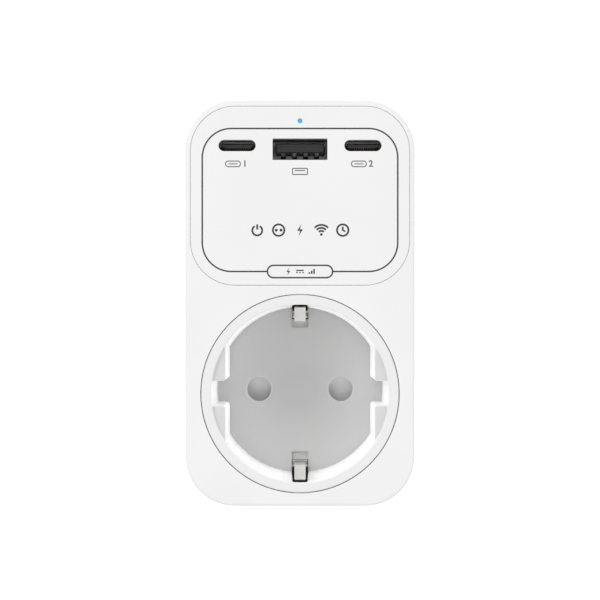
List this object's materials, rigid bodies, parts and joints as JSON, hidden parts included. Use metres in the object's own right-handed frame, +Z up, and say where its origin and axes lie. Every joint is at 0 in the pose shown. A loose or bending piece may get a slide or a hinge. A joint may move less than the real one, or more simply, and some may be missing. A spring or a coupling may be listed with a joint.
{
  "type": "smart plug with charge ports",
  "caption": "White wall adapter with a round recessed socket, a panel of charge ports above it and a round plug with two pins behind.",
  "frame": {"origin": "centre of the plug boss's end face, midway between the two pins, where the floor of the wall socket's recess would be", "axes": "+Y into the wall along the pins, +Z up along the height, +X to the right of someone facing the front"},
  "size_m": [0.051, 0.072, 0.0902],
  "materials": {
    "white_abs": "satin",
    "white_fascia": "satin",
    "white_insert": "satin",
    "grey_nylon": "matte",
    "cream_nylon": "matte",
    "black_nylon": "matte",
    "nickel_brass": "satin",
    "dark_steel": "satin",
    "contact_brass": "satin",
    "spring_steel": "satin",
    "zinc_steel": "satin",
    "clear_acrylic": "gloss",
    "led_epoxy": "gloss",
    "circuit_board": "satin",
    "relay_case": "satin",
    "ferrite": "matte",
    "winding_tape": "satin",
    "capacitor_can": "satin",
    "capacitor_box": "satin",
    "enamelled_copper": "satin",
    "fuse_case": "matte",
    "varistor_epoxy": "satin",
    "chip_epoxy": "matte",
    "tin_plate": "satin",
    "polyester_film": "satin",
    "brown_pvc": "satin",
    "blue_pvc": "satin"
  },
  "bodies": {
    "body": {"front_housing": "white_abs", "rear_housing": "white_abs", "fascia_panel": "white_fascia", "socket_insert": "white_insert", "light_pipe": "clear_acrylic", "status_led": "led_epoxy", "housing_screws": "zinc_steel", "tactile_switch": "black_nylon", "shutter_spring": "spring_steel", "shutter_cover": "cream_nylon", "contact_block": "cream_nylon", "socket_screws": "zinc_steel", "live_contact": "contact_brass", "neutral_contact": "contact_brass", "earth_strap": "nickel_brass", "earth_link": "nickel_brass", "earth_rivets": "nickel_brass", "earth_crossbar": "nickel_brass", "earth_strip_upper": "nickel_brass", "earth_strip_lower": "nickel_brass", "earth_sleeve": "nickel_brass", "live_pin": "nickel_brass", "neutral_pin": "nickel_brass", "pin_retainer": "cream_nylon", "retainer_screws": "zinc_steel", "live_lead_in": "brown_pvc", "live_lead_out": "brown_pvc", "neutral_lead": "blue_pvc", "neutral_link": "contact_brass", "power_board": "circuit_board", "insulation_sheet": "polyester_film", "port_board": "circuit_board", "board_pins": "tin_plate", "relay": "relay_case", "transformer_core": "ferrite", "transformer_winding": "winding_tape", "bulk_capacitor_lower": "capacitor_can", "bulk_capacitor_upper": "capacitor_can", "suppression_capacitor": "capacitor_box", "choke_core": "enamelled_copper", "fuse": "fuse_case", "varistor": "varistor_epoxy", "bridge_rectifier": "chip_epoxy", "output_capacitor_left": "capacitor_can", "output_capacitor_right": "capacitor_can", "radio_module": "circuit_board", "radio_shield": "tin_plate", "wide_port_shell": "dark_steel", "wide_port_tongue": "black_nylon", "wide_port_contacts": "nickel_brass", "oval_port_left_shell": "dark_steel", "oval_port_left_tongue": "black_nylon", "oval_port_right_shell": "dark_steel", "oval_port_right_tongue": "black_nylon"},
    "shutter": {"safety_shutter": "grey_nylon"},
    "button": {"power_button": "white_abs", "switch_plunger": "black_nylon"},
    "clip_upper": {"earth_clip_upper": "nickel_brass"},
    "clip_lower": {"earth_clip_lower": "nickel_brass"}
  },
  "joints": [
    {"name": "shutter_slide", "type": "slide", "parent": "body", "child": "shutter", "axis": [0, 0, 1], "range_m": [0, 0.0062], "stiffness_N_per_m": 200, "springref_m": -0.004, "deforming": ["shutter_spring"]},
    {"name": "button_press", "type": "slide", "parent": "body", "child": "button", "axis": [0, 0, -1], "range_m": [0, 0.0003], "stiffness_N_per_m": 2500, "springref_m": -0.0003},
    {"name": "clip_upper_flex", "type": "hinge", "parent": "body", "child": "clip_upper", "pos_m": [0, -0.0316, 0.0174], "axis": [-1, 0, 0], "range_deg": [0, 3], "stiffness_Nm_per_rad": 0.5, "springref_deg": -1.15},
    {"name": "clip_lower_flex", "type": "hinge", "parent": "body", "child": "clip_lower", "pos_m": [0, -0.0316, -0.0174], "axis": [1, 0, 0], "range_deg": [0, 3], "stiffness_Nm_per_rad": 0.5, "springref_deg": -1.15}
  ]
}
